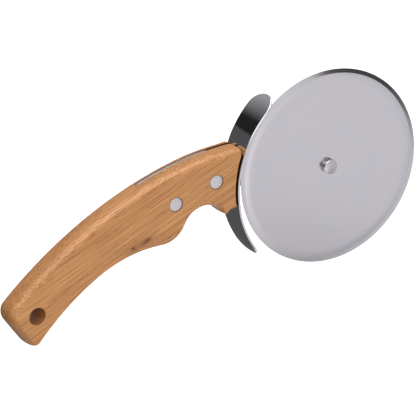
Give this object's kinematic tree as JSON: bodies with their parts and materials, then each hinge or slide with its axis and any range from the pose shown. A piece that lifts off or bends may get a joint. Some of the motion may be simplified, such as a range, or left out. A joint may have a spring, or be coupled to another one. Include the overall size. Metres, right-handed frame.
{
  "type": "pizza cutter",
  "caption": "Rotary pizza cutter: a free-turning bevelled steel wheel on an axle rivet, a curved steel finger guard and a bamboo handle with a finger notch and a hanging hole.",
  "frame": {"origin": "under the middle of the cutter's box, on the plane that its lowest side lies on", "axes": "+X from the handle to the wheel along the tang, +Y to the back of the handle, +Z along the wheel's axle, out of the side with the rivet's head"},
  "size_m": [0.228, 0.1264, 0.016],
  "materials": {
    "bamboo": "sanded and oiled bamboo, fine straight grain",
    "plate_steel": "rolled stainless steel plate",
    "polished_steel": "mirror-polished stainless steel",
    "wheel_steel": "satin stainless steel with a ground bevel",
    "rivet_aluminium": "satin aluminium"
  },
  "bodies": {
    "holder": {"handle": "bamboo", "tang": "plate_steel", "finger_guard": "polished_steel", "axle_rivet": "polished_steel", "head_washer": "polished_steel", "spacer_washer": "plate_steel", "front_rivet_tube": "rivet_aluminium", "front_rivet_pin": "rivet_aluminium", "rear_rivet_tube": "rivet_aluminium", "rear_rivet_pin": "rivet_aluminium"},
    "wheel": {"cutting_wheel": "wheel_steel"}
  },
  "joints": [
    {"name": "wheel_spin", "type": "hinge", "parent": "holder", "child": "wheel", "pos_m": [0.06403, 0.01323, 0.008], "axis": [0, 0, 1], "continuous": true}
  ]
}
